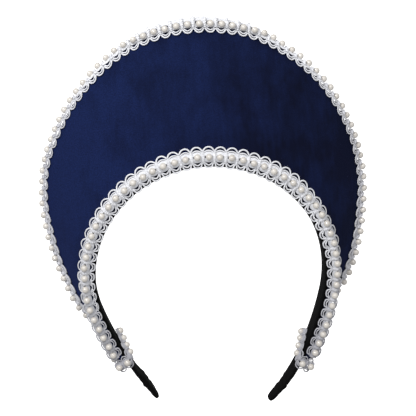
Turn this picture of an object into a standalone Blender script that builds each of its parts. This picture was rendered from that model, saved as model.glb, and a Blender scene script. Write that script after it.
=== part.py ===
"""Crown headband: a velvet-covered crown board on a cloth-covered headband, edged with pearl braid.

The object is laid out on its headband. A place on it is given by its station, the length run along
the band's inner face from the middle of the arch (minus to the left, plus to the right), and by a
place in the section there: out, away from the head, and up, from the band's back edge to its front.
"""

import math

import bmesh
import bpy
from mathutils import Matrix, Vector

OBJECT_NAME = "crown_headband"

# Gap left between two pieces that touch.
GAP = 0.0003

# Headband: each side runs from the arch's middle through arcs of these radii and lengths, and each
# tip narrows and is rounded.
BAND_WIDTH = 0.0125
BAND_THICK = 0.0024
BAND_EDGE = 0.0006
TIP_WIDTH = 0.0085
TIP_TAPER = 0.022
TIP_ROUND = 0.005
BAND_ARCS = {
    -1: ((0.0647, 0.1231), (0.232, 0.0660)),
    1: ((0.0695, 0.1237), (0.190, 0.0443), (0.092, 0.0330)),
}
BAND_CELLS = 46

# Crown board: its face leans back from the band's front edge and domes a little on the way out, by
# BOARD_DOME for each metre. BOARD_RIM is the turn from the middle of its edge to each corner there,
# and BOARD_ROOT_LEAN the most that its back's inner edge follows the lean. lean is in degrees, reach
# in millimetres from the band's front corner to the board's edge. The board sits a little askew:
# its left side leans back more than its right.
BOARD_THICK = 0.003
BOARD_RIM = math.radians(30)
BOARD_ROOT_LEAN = math.radians(40)
BOARD_DOME = math.radians(150)
BOARD_END = {-1: 0.159, 1: 0.171}
BOARD_SPANS = 5
CROWN = {
    "along": (0, 12, 25, 37, 50, 62, 75, 85, 95, 110, 118, 124, 132, 145, 165),
    "lean_left": (12, 14.5, 18, 23, 29, 35, 41, 45, 50, 57, 58, 63, 71, 67, 62),
    "lean_right": (12, 13, 14, 16, 19, 23, 28, 32.6, 37, 43.4, 49, 58, 67, 67, 62),
    "reach_left": (81.4, 78.8, 70.6, 64, 57.3, 52.2, 44.1, 36.8, 30.9, 23.9, 19.4, 17, 14.8, 13, 10.6),
    "reach_right": (81.4, 79.6, 71.6, 65.4, 57.4, 50, 41.8, 35.4, 29.6, 21.8, 18.4, 16.4, 14.7, 13, 10.6),
}

# Braid: a flat band of loops with a line of pearls along its middle.
BRAID_THICK = 0.001
BRAID_HALF = 0.0061
PEARL_PITCH = 0.0065
PEARL_RADIUS = 0.0023
PEARL_LIFT = 0.00105
PEARL_SIDES = 10
PEARL_RINGS = 3
PEARL_TURN = math.radians(9)

# A point this far over the flat braid's top belongs to a pearl.
ON_TOP = 0.000001

# Inner trim: it lies over the joint of band and board. ridge is how far out its pearl line runs,
# inner_fall the angle in degrees by which its inner half falls back, inner_half that half's width.
# The board's face meets it RIDGE_REACH out from the band.
RIDGE_REACH = 0.004
OUTER_FALL_MOST = math.radians(44)
INNER_TRIM = {
    "along": (0, 25, 50, 75, 95, 115, 130, 142, 152, 170),
    "ridge": (6.25, 6.2, 6.35, 6.3, 6.2, 5.9, 5.9, 5.8, 5.8, 5.8),
    "inner_fall": (-12, -9, -3, 0, 6, 16, 20, 14, 2, 0),
    "inner_half": (6.1, 6.1, 6.1, 6.0, 5.9, 5.5, 5.2, 5.2, 5.3, 5.3),
}
INNER_TRIM_END = {-1: 0.1505, 1: 0.1630}

# Outer trim: it wraps the board's edge. forward is how far its pearl line lies in front of the
# middle of the edge, measured round the wrap. back_half is the width of its half behind the
# pearls, less where it tucks in behind the arm.
OUTER_TRIM = {
    "along": (0, 12, 25, 40, 60, 80, 86, 110, 125, 165),
    "forward": (3.6, 2.6, -0.3, -0.4, -0.2, 0.4, 1.2, 1.2, 1.2, 0.5),
    "back_half": (6.1, 6.1, 6.1, 6.1, 6.1, 5.8, 5.6, 5.2, 3.2, 3.2),
}

# A wrap round an edge is made of flats, each this angle from the next.
WRAP_FLAT = math.radians(90)

# End wraps: near each tip the inner trim turns inwards, crosses the front of the board's end and
# of the arm, and runs up the arm's inner face. WRAP_LINE is the underside of that crossing, out and
# up in the section. around is the length along it from the arm's front inner corner, plus outwards;
# up_arm the length up the arm from where the trim crosses; half the half-width along the arm.
WRAP_STATION = {-1: 0.1564, 1: 0.1689}
WRAP_LINE = ((10.2, 9.3), (6.0, 13.2), (0.4, 13.2), (-0.35, 12.45), (-0.35, 0.6))
WRAP_CORNER = 3
END_WRAP = {
    "around": (-11.8, -9.2, -6.4, -3.6, 0, 4, 12),
    "up_arm": (16.0, 12.4, 8.4, 4.4, 0.2, 0, 0),
    "half": (8.4, 8.4, 8.2, 7.0, 4.9, 4.6, 4.6),
}
WRAP_PEARLS = (-11.0, -8.3, -5.6, -2.9, 2.3, 7.0)
WRAP_SPANS = (-9.2, -6.4, -3.6)
WRAP_CELLS = 4

# A trim's running length is summed in steps of this station, to this far each way.
LENGTH_STEP = 0.0025
LENGTH_REACH = 0.175

# Rest: the whole object is turned to lie on its back as it would by itself.
REST_PITCH = math.radians(7.696)
REST_ROLL = math.radians(2.928)

# Colour as linear red, green, blue; roughness.
MATERIALS = {
    "velvet": ((0.013, 0.019, 0.085), 0.85),
    "cloth": ((0.012, 0.012, 0.014), 0.8),
    "braid": ((0.78, 0.80, 0.84), 0.6),
}


def clamp(value, low, high):
    return max(low, min(high, value))


def read_table(inputs, outputs, value):
    """Smooth curve through a table's rows, level with the end rows beyond them."""
    value = clamp(value, inputs[0], inputs[-1])
    row = 0
    while row < len(inputs) - 2 and value > inputs[row + 1]:
        row += 1
    span = inputs[row + 1] - inputs[row]
    share = (value - inputs[row]) / span
    rise = outputs[row + 1] - outputs[row]
    start = slope_at(inputs, outputs, row) * span
    end = slope_at(inputs, outputs, row + 1) * span
    bow = start * (1.0 - share) - end * share + rise * (2.0 * share - 1.0)
    return outputs[row] + rise * share + share * (1.0 - share) * bow


def slope_at(inputs, outputs, row):
    """Slope of a table's curve at a row: none at a crest, dip or end, or else its neighbours' mean."""
    if row == 0 or row == len(inputs) - 1:
        return 0.0
    before = (outputs[row] - outputs[row - 1]) / (inputs[row] - inputs[row - 1])
    after = (outputs[row + 1] - outputs[row]) / (inputs[row + 1] - inputs[row])
    if before * after <= 0.0:
        return 0.0
    return 2.0 * before * after / (before + after)


def table_at(table, column, station, scale=0.001):
    """Value of a table's column at a station; the table is in millimetres or degrees."""
    return read_table(table["along"], table[column], abs(station) * 1000.0) * scale


# Headband path


def band_frame(station):
    """Point on the band's inner face at its back edge, and the outward direction there."""
    side = 1 if station >= 0 else -1
    left = abs(station)
    point = Vector((0.0, 0.0, 0.0))
    turn = 0.0
    for radius, length in BAND_ARCS[side]:
        run = left if radius == BAND_ARCS[side][-1][0] else min(left, length)
        centre = point - Vector((math.sin(turn), math.cos(turn), 0.0)) * radius
        turn += run / radius
        point = centre + Vector((math.sin(turn), math.cos(turn), 0.0)) * radius
        left -= run
    outward = Vector((side * math.sin(turn), math.cos(turn), 0.0))
    return Vector((side * point.x, point.y, 0.0)), outward


def band_length(side):
    return sum(length for radius, length in BAND_ARCS[side])


def place(station, section):
    """World point of a place in the section at a station."""
    point, outward = band_frame(station)
    return point + outward * section.x + Vector((0.0, 0.0, section.y))


# Sections of the board and its trims


def lean_at(station):
    """Backward lean of the board's face at the band."""
    side = "lean_right" if station >= 0 else "lean_left"
    return math.radians(table_at(CROWN, side, station, 1.0))


def reach_at(station):
    side = "reach_right" if station >= 0 else "reach_left"
    return table_at(CROWN, side, station)


def band_corner():
    return Vector((BAND_THICK + GAP, BAND_WIDTH))


def plain_face(station, reach):
    """Place on the domed face at a reach from the band's corner, and its front normal."""
    start = lean_at(station)
    end = start + BOARD_DOME * reach
    out = (math.sin(end) - math.sin(start)) / BOARD_DOME
    up = (math.cos(end) - math.cos(start)) / BOARD_DOME
    return band_corner() + Vector((out, up)), Vector((math.sin(end), math.cos(end)))


def ridge_seat(station):
    """Underside of the inner trim at its pearl line."""
    out = table_at(INNER_TRIM, "ridge", station)
    fall = inner_fall_at(station)
    inner_end = out - table_at(INNER_TRIM, "inner_half", station) * math.cos(fall)
    touch = max(BAND_EDGE, inner_end) if fall > 0.0 else BAND_THICK
    over_band = BAND_WIDTH + GAP / math.cos(fall) + (out - touch) * math.tan(fall)
    lean = lean_at(station)
    over_board = BAND_WIDTH - (out - BAND_THICK - GAP) * math.tan(lean) + GAP / math.cos(lean)
    return Vector((out, max(over_band, over_board)))


def inner_fall_at(station):
    return math.radians(table_at(INNER_TRIM, "inner_fall", station, 1.0))


def board_face(station, reach):
    """Place on the board's face: the domed face, raised under the inner trim's pearl line."""
    place_there, normal = plain_face(station, reach)
    ridge, _ = plain_face(station, RIDGE_REACH)
    lift = ridge_seat(station) - Vector((0.0, GAP)) - ridge
    share = clamp(1.0 - (reach - RIDGE_REACH) / raised_span(station), 0.0, 1.0)
    return place_there + lift * share, normal


def raised_span(station):
    """Span over which the board's face comes down from under the inner trim's pearl line.

    It is as wide as the trim's outer half, or less where the outer trim's front half is near.
    """
    quarter = BOARD_THICK / 2.0 * math.pi / 2.0
    outer_trim_end = reach_at(station) - BOARD_THICK / 2.0 - (BRAID_HALF - quarter)
    return clamp(outer_trim_end - RIDGE_REACH - 2.0 * GAP, 0.001, BRAID_HALF)


def outer_fall_at(station):
    """Angle by which the inner trim's outer half falls back; it lies on the board where it can."""
    high, _ = board_face(station, RIDGE_REACH)
    low, _ = board_face(station, RIDGE_REACH + BRAID_HALF)
    return min(math.atan2(high.y - low.y, low.x - high.x), OUTER_FALL_MOST)


def inner_trim_section(station, across, height):
    """Place in the inner trim, and the direction in which its pearls stand."""
    inner = inner_fall_at(station)
    outer = outer_fall_at(station)
    stand_angle = (outer - inner) / 2.0
    stand = Vector((math.sin(stand_angle), math.cos(stand_angle)))
    narrow = table_at(INNER_TRIM, "inner_half", station) / BRAID_HALF
    if across < 0.0:
        run = Vector((-math.cos(inner), -math.sin(inner))) * (-across * narrow)
    else:
        run = Vector((math.cos(outer), -math.sin(outer))) * across
    lift = stand * (height / math.cos((outer + inner) / 2.0))
    return ridge_seat(station) + run + lift, stand


def wrap_section(axis, ahead, radius, around, height):
    """Place on a strip wrapped round an edge, and the outward direction there.

    axis is the middle of the rounding, ahead the direction in which the edge points, and around
    the length round the wrap from the edge's middle, plus towards the front.
    """
    front = Vector((-ahead.y, ahead.x))
    quarter = radius * math.pi / 2.0
    past = max(abs(around) - quarter, 0.0)
    angle = clamp(around, -quarter, quarter) / radius
    away = ahead * math.cos(angle) + front * math.sin(angle)
    off_flat = math.remainder(angle, WRAP_FLAT)
    return axis - ahead * past + away * ((radius + height) / math.cos(off_flat)), away


def outer_trim_section(station, across, height):
    """Place in the outer trim, and the direction in which its pearls stand."""
    forward = table_at(OUTER_TRIM, "forward", station)
    edge, normal = board_face(station, reach_at(station))
    ahead = Vector((normal.y, -normal.x))
    axis = edge - (ahead + normal) * (BOARD_THICK / 2.0)
    radius = BOARD_THICK / 2.0 + GAP
    return wrap_section(axis, ahead, radius, forward - across, height)


def outer_trim_columns(station):
    """Widths at which the outer trim's cells end, at the corners of its wrap."""
    forward = table_at(OUTER_TRIM, "forward", station)
    corner = (BOARD_THICK / 2.0 + GAP) * WRAP_FLAT / 2.0
    last = table_at(OUTER_TRIM, "back_half", station)
    return -BRAID_HALF, forward - corner, forward + corner, last


# Blanks: every strip starts flat and is bent to its place


def new_object(name, mesh, material):
    thing = bpy.data.objects.new(name, mesh)
    mesh.materials.append(material)
    bpy.data.collections[OBJECT_NAME].objects.link(thing)
    return thing


def flat_blank(cells_along, cells_across):
    """Closed flat blank: x and y run from 0 to 1, z is 0 on the underside and 1 on top."""
    blank = bmesh.new()
    bmesh.ops.create_grid(blank, x_segments=cells_along, y_segments=cells_across, size=0.5)
    bmesh.ops.translate(blank, verts=blank.verts, vec=(0.5, 0.5, 0.0))
    raised = bmesh.ops.extrude_face_region(blank, geom=blank.faces[:])
    top = [item for item in raised["geom"] if isinstance(item, bmesh.types.BMVert)]
    bmesh.ops.translate(blank, verts=top, vec=(0.0, 0.0, 1.0))
    bmesh.ops.recalc_face_normals(blank, faces=blank.faces[:])
    return blank


def face_outward(shape):
    """Turns a closed shape's faces out."""
    if shape.calc_volume(signed=True) < 0.0:
        bmesh.ops.reverse_faces(shape, faces=shape.faces[:])


def bend(shape, mapping):
    """Moves each vertex from the flat blank to its place."""
    for vert in shape.verts:
        vert.co = mapping(*vert.co)
    face_outward(shape)


def to_mesh(shape, name):
    mesh = bpy.data.meshes.new(name)
    shape.to_mesh(mesh)
    shape.free()
    return mesh


# Pieces


def tip_width(station):
    """Width of the band, which narrows to rounded tips."""
    side = 1 if station >= 0 else -1
    left = band_length(side) - abs(station)
    width = BAND_WIDTH + (TIP_WIDTH - BAND_WIDTH) * clamp(1.0 - left / TIP_TAPER, 0.0, 1.0)
    if left < TIP_ROUND:
        share = 1.0 - max(left, 0.0) / TIP_ROUND
        width -= TIP_WIDTH * 0.5 * (1.0 - math.sqrt(max(1.0 - share * share, 0.0)))
    return width


def build_headband(material):
    def mapping(along, across, level):
        station = -band_length(-1) + (band_length(-1) + band_length(1)) * along
        up = BAND_WIDTH / 2.0 + (across - 0.5) * tip_width(station)
        return place(station, Vector((level * BAND_THICK, up)))

    band = flat_blank(BAND_CELLS, 1)
    bend(band, mapping)
    sharp = [edge for edge in band.edges if edge.calc_face_angle() > math.radians(60)]
    bmesh.ops.bevel(band, geom=sharp, offset=BAND_EDGE, segments=1, profile=0.5,
                    affect="EDGES", clamp_overlap=True, material=-1)
    return new_object("headband", to_mesh(band, "headband"), material)


def board_columns(station):
    """Reaches at which the board's spans end, from the pearl line of the inner trim to the edge."""
    edge = reach_at(station) - BOARD_THICK / 2.0
    under_trim = RIDGE_REACH + raised_span(station)
    return RIDGE_REACH, under_trim, (under_trim + edge) / 2.0, edge


def board_root(station, level):
    """The board's inner edge, along the band's outer face, at its front or its back."""
    seat = band_corner()
    if level > 0.5:
        ridge, _ = board_face(station, RIDGE_REACH)
        return Vector((seat.x, ridge.y - (ridge.x - seat.x) * math.tan(inner_fall_at(station))))
    lean = min(lean_at(station), BOARD_ROOT_LEAN)
    return Vector((seat.x, BAND_WIDTH - BOARD_THICK / math.cos(lean)))


def build_crown_board(material):
    """The board's cells end at the same stations as the outer trim's, so their flats match."""
    length, start, end, places = trim_run(outer_trim_section, BOARD_END)

    def mapping(along, across, level):
        station = station_at(length, start + (end - start) * along)
        span = round(across * BOARD_SPANS)
        root = board_root(station, level)
        if span == 0:
            return place(station, root)
        edge, normal = board_face(station, reach_at(station))
        ahead = Vector((normal.y, -normal.x))
        if span == BOARD_SPANS:
            rounding = BOARD_THICK / 2.0
            turned = BOARD_RIM if level > 0.5 else -BOARD_RIM
            middle = edge - (ahead + normal) * rounding
            away = ahead * math.cos(turned) + normal * math.sin(turned)
            return place(station, middle + away * rounding)
        columns = board_columns(station)
        front, _ = board_face(station, columns[span - 1])
        if level > 0.5:
            return place(station, front)
        last = board_face(station, columns[-1])[0] - normal * BOARD_THICK
        share = columns[span - 1] / columns[-1]
        bulge = BOARD_DOME * columns[-1] ** 2 / 2.0 * share * (1.0 - share)
        return place(station, root.lerp(last, share) + normal * bulge)

    board = flat_blank(len(places), BOARD_SPANS)
    bend(board, mapping)
    return new_object("crown_board", to_mesh(board, "crown_board"), material)


def add_pearls(strip, places):
    """Fuses a line of pearls to a flat strip."""
    pearls = bmesh.new()
    for along, across in places:
        middle = Vector((along, across, BRAID_THICK + PEARL_LIFT))
        turned = Matrix.Translation(middle) @ Matrix.Rotation(PEARL_TURN, 4, "Z")
        bmesh.ops.create_uvsphere(pearls, u_segments=PEARL_SIDES, v_segments=PEARL_RINGS,
                                  radius=PEARL_RADIUS, matrix=turned)
    for vert in pearls.verts:
        vert.co.z = max(vert.co.z, BRAID_THICK / 2.0)
    loose = bpy.data.objects.new("pearls", to_mesh(pearls, "pearls"))
    bpy.data.collections["cutters"].objects.link(loose)
    loose.hide_render = True
    loose.display_type = "WIRE"
    join = strip.modifiers.new("join", "BOOLEAN")
    join.operation = "UNION"
    join.solver = "EXACT"
    join.object = loose
    bpy.context.view_layer.update()
    evaluated = strip.evaluated_get(bpy.context.evaluated_depsgraph_get())
    joined = bpy.data.meshes.new_from_object(evaluated)
    strip.modifiers.remove(join)
    strip.data = joined
    bpy.data.objects.remove(loose)


def build_strip(name, material, cells, outline, places, section_point):
    """A braid strip with its pearls: made flat, joined flat, then bent to its place.

    outline gives the flat place of a blank's grid point, and section_point the world point of a
    flat place and the direction in which a pearl stands there.
    """
    blank = flat_blank(*cells)
    for vert in blank.verts:
        flat = outline(vert.co.x, vert.co.y)
        vert.co = Vector((flat[0], flat[1], vert.co.z * BRAID_THICK))
    bmesh.ops.recalc_face_normals(blank, faces=blank.faces[:])
    strip = new_object(name, to_mesh(blank, name), material)
    add_pearls(strip, places)

    bent = bmesh.new()
    bent.from_mesh(strip.data)
    bmesh.ops.triangulate(bent, faces=bent.faces[:])
    frames = [pearl_frame(section_point, *spot) for spot in places]
    spots = [Vector((*spot, BRAID_THICK)) for spot in places]
    for vert in bent.verts:
        flat = vert.co.copy()
        if flat.z > BRAID_THICK + ON_TOP:
            index = min(range(len(spots)), key=lambda item: (spots[item] - flat).length)
            vert.co = frames[index] @ (flat - spots[index])
        else:
            vert.co = section_point(flat.x, flat.y, flat.z)
    face_outward(bent)
    old = strip.data
    strip.data = to_mesh(bent, name)
    strip.data.materials.clear()
    strip.data.materials.append(material)
    bpy.data.meshes.remove(old)
    return strip


def pearl_frame(section_point, along, across):
    """Placing of a pearl: x along the strip, z away from it."""
    step = 0.0005
    foot = section_point(along, across, BRAID_THICK)
    before = section_point(along - step, across, BRAID_THICK)
    after = section_point(along + step, across, BRAID_THICK)
    run = (after - before).normalized()
    stand = (section_point(along, across, BRAID_THICK + step) - foot).normalized()
    side = stand.cross(run).normalized()
    run = side.cross(stand)
    if side.dot(section_point(along, across + step, BRAID_THICK) - foot) < 0.0:
        side.negate()
    frame = Matrix((run, side, stand)).transposed().to_4x4()
    frame.translation = foot
    return frame


def pearl_places(start, end):
    """Pearl stations at the pitch, centred between two ends, half a pitch from each."""
    count = round((end - start) / PEARL_PITCH)
    pitch = (end - start) / count
    return [(start + pitch * (index + 0.5), 0.0) for index in range(count)]


def trim_run(section, ends):
    """A trim's running lengths, its ends measured along them, and its pearls' places."""
    length = line_lengths(section)
    start = length_at(length, -ends[-1])
    end = length_at(length, ends[1])
    return length, start, end, pearl_places(start, end)


def build_inner_trim(material):
    length, start, end, places = trim_run(inner_trim_section, INNER_TRIM_END)

    def outline(along, across):
        return start + (end - start) * along, (across - 0.5) * 2.0 * BRAID_HALF

    def section_point(along, across, height):
        station = station_at(length, along)
        return place(station, inner_trim_section(station, across, height)[0])

    cells = (len(places), 2)
    return build_strip("inner_trim", material, cells, outline, places, section_point)


def build_outer_trim(material):
    length, start, end, places = trim_run(outer_trim_section, BOARD_END)

    def outline(along, across):
        run = start + (end - start) * along
        columns = outer_trim_columns(station_at(length, run))
        return run, columns[round(across * (len(columns) - 1))]

    def section_point(along, across, height):
        station = station_at(length, along)
        return place(station, outer_trim_section(station, across, height)[0])

    cells = (len(places), 3)
    return build_strip("outer_trim", material, cells, outline, places, section_point)


def line_lengths(section):
    """Running length of a trim's pearl line against the station."""
    count = round(2.0 * LENGTH_REACH / LENGTH_STEP)
    stations = [LENGTH_STEP * index - LENGTH_REACH for index in range(count + 1)]
    lengths = [0.0]
    before = place(stations[0], section(stations[0], 0.0, BRAID_THICK)[0])
    for station in stations[1:]:
        here = place(station, section(station, 0.0, BRAID_THICK)[0])
        lengths.append(lengths[-1] + (here - before).length)
        before = here
    return stations, lengths


def between(inputs, outputs, value):
    row = 0
    while row < len(inputs) - 2 and value > inputs[row + 1]:
        row += 1
    share = (value - inputs[row]) / (inputs[row + 1] - inputs[row])
    return outputs[row] + (outputs[row + 1] - outputs[row]) * share


def length_at(length, station):
    return between(length[0], length[1], station)


def station_at(length, along):
    return between(length[1], length[0], along)


def follow_line(line, corner, around, height):
    """Place at a height over a line of points; around is the length back from a corner point."""
    points = [Vector(point) * 0.001 for point in line]
    runs = [after - before for before, after in zip(points, points[1:])]
    sides = [Vector((-run.y, run.x)).normalized() for run in runs]
    lifts = [sides[0]]
    for before, after in zip(sides, sides[1:]):
        both = (before + after).normalized()
        lifts.append(both / both.dot(before))
    lifts.append(sides[-1])
    along = sum(run.length for run in runs[:corner]) - around
    index = 0
    while index < len(runs) - 1 and along > runs[index].length:
        along -= runs[index].length
        index += 1
    share = along / runs[index].length
    start = points[index] - lifts[index] * height
    end = points[index + 1] - lifts[index + 1] * height
    return start.lerp(end, share)


def build_end_wrap(name, side, material):
    """The inner trim's tail, turned over the arm's front edge near its tip."""
    points = [Vector(point) for point in WRAP_LINE]
    lengths = [0.0]
    for before, after in zip(points, points[1:]):
        lengths.append(lengths[-1] + (after - before).length)
    bends = [lengths[WRAP_CORNER] - length for length in lengths]
    columns = sorted(bends + list(WRAP_SPANS))

    def value_at(column, around):
        return read_table(END_WRAP["around"], END_WRAP[column], around) * 0.001

    def outline(along, across):
        around = columns[round(along * (len(columns) - 1))]
        spread = (across - 0.5) * 2.0 * value_at("half", around)
        return around * 0.001, value_at("up_arm", around) + spread

    def section_point(around, up_arm, height):
        spot = follow_line(WRAP_LINE, WRAP_CORNER, around, height)
        return place(side * (WRAP_STATION[side] - up_arm), spot)

    places = [(around * 0.001, value_at("up_arm", around)) for around in WRAP_PEARLS]
    cells = (len(columns) - 1, WRAP_CELLS)
    return build_strip(name, material, cells, outline, places, section_point)


# Scene


def clear_scene():
    for thing in list(bpy.data.objects):
        bpy.data.objects.remove(thing)
    for name in (OBJECT_NAME, "cutters"):
        collection = bpy.data.collections.new(name)
        bpy.context.scene.collection.children.link(collection)


def make_material(name):
    colour, roughness = MATERIALS[name]
    material = bpy.data.materials.new(name)
    material.use_nodes = True
    shader = material.node_tree.nodes["Principled BSDF"]
    shader.inputs["Base Color"].default_value = (*colour, 1.0)
    shader.inputs["Roughness"].default_value = roughness
    return material


def lay_down(pieces):
    """Turns the object to rest on its back and sets it on the floor, centred on the origin."""
    turn = Matrix.Rotation(REST_ROLL, 3, "Y") @ Matrix.Rotation(REST_PITCH, 3, "X")
    for piece in pieces:
        for vert in piece.data.vertices:
            vert.co = turn @ vert.co
    corners = [vert.co for piece in pieces for vert in piece.data.vertices]
    low = Vector([min(corner[axis] for corner in corners) for axis in range(3)])
    high = Vector([max(corner[axis] for corner in corners) for axis in range(3)])
    base = Vector(((low.x + high.x) / 2.0, (low.y + high.y) / 2.0, low.z))
    for piece in pieces:
        for vert in piece.data.vertices:
            vert.co -= base


def build():
    clear_scene()
    velvet = make_material("velvet")
    cloth = make_material("cloth")
    braid = make_material("braid")
    pieces = [
        build_headband(cloth),
        build_crown_board(velvet),
        build_inner_trim(braid),
        build_outer_trim(braid),
        build_end_wrap("left_end_wrap", -1, braid),
        build_end_wrap("right_end_wrap", 1, braid),
    ]
    lay_down(pieces)
    return pieces


if __name__ == "__main__":
    build()
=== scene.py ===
"""The looks of a crown headband: navy velvet, black cloth, and white picot braid with pearls.

Every piece follows the headband. A place on it is given by its station, the length run along the
band's inner face from the middle of the arch (minus to the left), and by a place in the section
there: out, away from the head, and up, from the band's back edge to its front. Braid is laid out
flat, along and across, and is then bent to its place. Lengths are in metres unless a name or a
comment says millimetres.
"""

import math

import bmesh
import bpy
import numpy as np
from bpy.props import FloatProperty, FloatVectorProperty, IntProperty, PointerProperty, StringProperty
from mathutils import Matrix, Vector


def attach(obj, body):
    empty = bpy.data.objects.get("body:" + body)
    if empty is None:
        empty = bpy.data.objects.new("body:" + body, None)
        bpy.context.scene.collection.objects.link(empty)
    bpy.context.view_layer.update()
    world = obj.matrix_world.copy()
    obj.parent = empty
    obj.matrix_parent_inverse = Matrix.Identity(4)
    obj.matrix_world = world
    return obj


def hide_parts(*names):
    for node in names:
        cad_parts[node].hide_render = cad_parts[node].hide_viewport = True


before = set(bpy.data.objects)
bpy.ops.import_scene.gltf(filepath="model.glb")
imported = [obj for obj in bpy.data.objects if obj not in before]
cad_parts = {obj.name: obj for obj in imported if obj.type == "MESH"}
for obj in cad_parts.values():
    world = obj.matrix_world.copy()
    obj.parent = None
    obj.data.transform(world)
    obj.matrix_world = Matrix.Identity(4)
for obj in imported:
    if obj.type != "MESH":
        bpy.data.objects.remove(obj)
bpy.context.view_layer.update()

bl_info = {
    "name": "Crown Headband",
    "version": (1, 0, 0),
    "blender": (4, 5, 0),
    "location": "View3D > Sidebar > Crown Headband",
    "description": "Builds a velvet crown headband with pearl braid",
    "category": "Add Mesh",
}

# Gap between two of the part's solids, and how near two points are that are merged.
GAP = 0.0003
MERGE = 0.000001

# Headband: its edges are bevelled by BAND_EDGE. Each side runs from the arch's middle through arcs of
# these radii and lengths, and each tip narrows over TIP_TAPER and is rounded over TIP_ROUND.
BAND_WIDTH = 0.0125
BAND_THICK = 0.0024
BAND_EDGE = 0.0006
TIP_WIDTH = 0.0085
TIP_TAPER = 0.022
TIP_ROUND = 0.005
BAND_ARCS = {
    -1: ((0.0647, 0.1231), (0.232, 0.0660)),
    1: ((0.0695, 0.1237), (0.190, 0.0443), (0.092, 0.0330)),
}

# Band cloth: cells round it, how far they crowd towards the tips, and the powers that square off its
# section, across and through. It is puckered at a distance from each tip, over a spread, in ripples of
# a height and of so many radians a metre. It stands off in folds inside the left tip, each of a height,
# at a distance from the tip and over a spread.
CLOTH_SIDES = 28
CLOTH_CROWDING = 0.65
CLOTH_SQUARE = (0.35, 0.55)
PUCKER_PLACE = (0.013, 0.006)
SLANTED_RIPPLE = (0.00018, 1500.0)
STRAIGHT_RIPPLE = (0.0002, 620.0)
EDGE_RIPPLE = (0.0003, 480.0)
FOLDS = ((0.0013, 0.014, 0.0065), (0.0005, 0.006, 0.003))

# Crown board: along is the station and reach the way from the band's front corner to the board's
# edge, in millimetres. The face leans back from the band's front edge by lean, in degrees, and domes
# on the way out, by BOARD_DOME a metre. The back leans by BOARD_ROOT_LEAN at most where it meets the
# band. The board ends at the stations in BOARD_END.
BOARD_THICK = 0.003
BOARD_ROOT_LEAN = math.radians(40)
BOARD_DOME = math.radians(150)
BOARD_END = {-1: 0.159, 1: 0.171}
CROWN = {
    "along": (0, 12, 25, 37, 50, 62, 75, 85, 95, 110, 118, 124, 132, 145, 165),
    "lean_left": (12, 14.5, 18, 23, 29, 35, 41, 45, 50, 57, 58, 63, 71, 67, 62),
    "lean_right": (12, 13, 14, 16, 19, 23, 28, 32.6, 37, 43.4, 49, 58, 67, 67, 62),
    "reach_left": (81.4, 78.8, 70.6, 64, 57.3, 52.2, 44.1, 36.8, 30.9, 23.9, 19.4, 17, 14.8, 13, 10.6),
    "reach_right": (81.4, 79.6, 71.6, 65.4, 57.4, 50, 41.8, 35.4, 29.6, 21.8, 18.4, 16.4, 14.7, 13, 10.6),
}
BOARD_CELLS_ACROSS = 36
RIM_CELLS = 5

# Slight waves of the covered card: the heights of the long and the short ones, how far from the band
# and the rim they start, and the lengths over which they grow.
LONG_WAVE = 0.00030
SHORT_WAVE = 0.00012
WAVES_FROM_BAND = 0.012
WAVES_FADE_IN = 0.010
WAVES_FROM_RIM = 0.006
WAVES_FADE_OUT = 0.008

# Crease that follows the board's top at the right: its depth and spread, the stations of its ends and
# the lengths over which it fades there, how far from the rim it starts, and how much nearer it comes
# for each metre along.
CREASE_DEPTH = 0.00028
CREASE_SPREAD = 0.0009
CREASE_ENDS = (0.002, 0.062)
CREASE_FADES = (0.010, 0.012)
CREASE_FROM_RIM = 0.0130
CREASE_RISE = 0.05

# Braid: its thickness, the width of each half, and its pearls' pitch. A seat is how far a trim's
# pearls sit across it and above it.
BRAID_THICK = 0.001
BRAID_HALF = 0.0061
PEARL_PITCH = 0.0065
INNER_SEAT = (0.0, 0.00125)
OUTER_SEAT = (-0.0010, 0.0014)

# Inner trim, in millimetres along the band: ridge is how far out its pearl line runs, inner_fall the
# angle in degrees by which its inner half falls back, inner_half the width that the half lies on,
# laid_half its own width, and outer_half the outer half's. RIDGE_REACH is the reach of the board's face
# under the pearl line. The outer half falls back by OUTER_FALL_MOST at most, and by up to ARM_LIFT less
# from ARM_START on, over ARM_BLEND. At each end, ARM_PEARLS pearls are on the arm.
RIDGE_REACH = 0.004
OUTER_FALL_MOST = math.radians(44)
ARM_LIFT = math.radians(26)
ARM_START = 0.110
ARM_BLEND = 0.030
ARM_PEARLS = 9
INNER_TRIM = {
    "along": (0, 25, 50, 75, 95, 115, 130, 142, 152, 170),
    "ridge": (6.25, 6.2, 6.35, 6.3, 6.2, 5.9, 5.9, 5.8, 5.8, 5.8),
    "inner_fall": (-12, -9, -3, 0, 6, 16, 20, 14, 2, 0),
    "inner_half": (6.1, 6.1, 6.1, 6.0, 5.9, 5.5, 5.2, 5.2, 5.3, 5.3),
    "laid_half": (6.0, 6.0, 6.0, 5.8, 5.4, 4.8, 4.4, 4.3, 4.4, 4.4),
    "outer_half": (6.1, 6.1, 6.1, 6.1, 6.0, 5.3, 4.8, 4.7, 4.7, 4.7),
}
INNER_TRIM_END = {-1: 0.1505, 1: 0.1630}

# Outer trim, in millimetres along the band: forward is how far its pearl line lies in front of the
# middle of the board's edge, measured round the wrap, and front_half and back_half the widths of its
# halves.
OUTER_TRIM = {
    "along": (0, 12, 25, 40, 60, 80, 86, 110, 125, 165),
    "forward": (3.6, 2.6, -0.3, -0.4, -0.2, 0.4, 1.2, 1.2, 1.2, 0.5),
    "front_half": (5.6, 5.5, 5.2, 4.8, 4.6, 4.6, 4.6, 4.9, 5.0, 5.0),
    "back_half": (6.1, 6.1, 6.1, 6.1, 6.1, 5.8, 5.6, 5.2, 3.2, 3.2),
}

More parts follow.
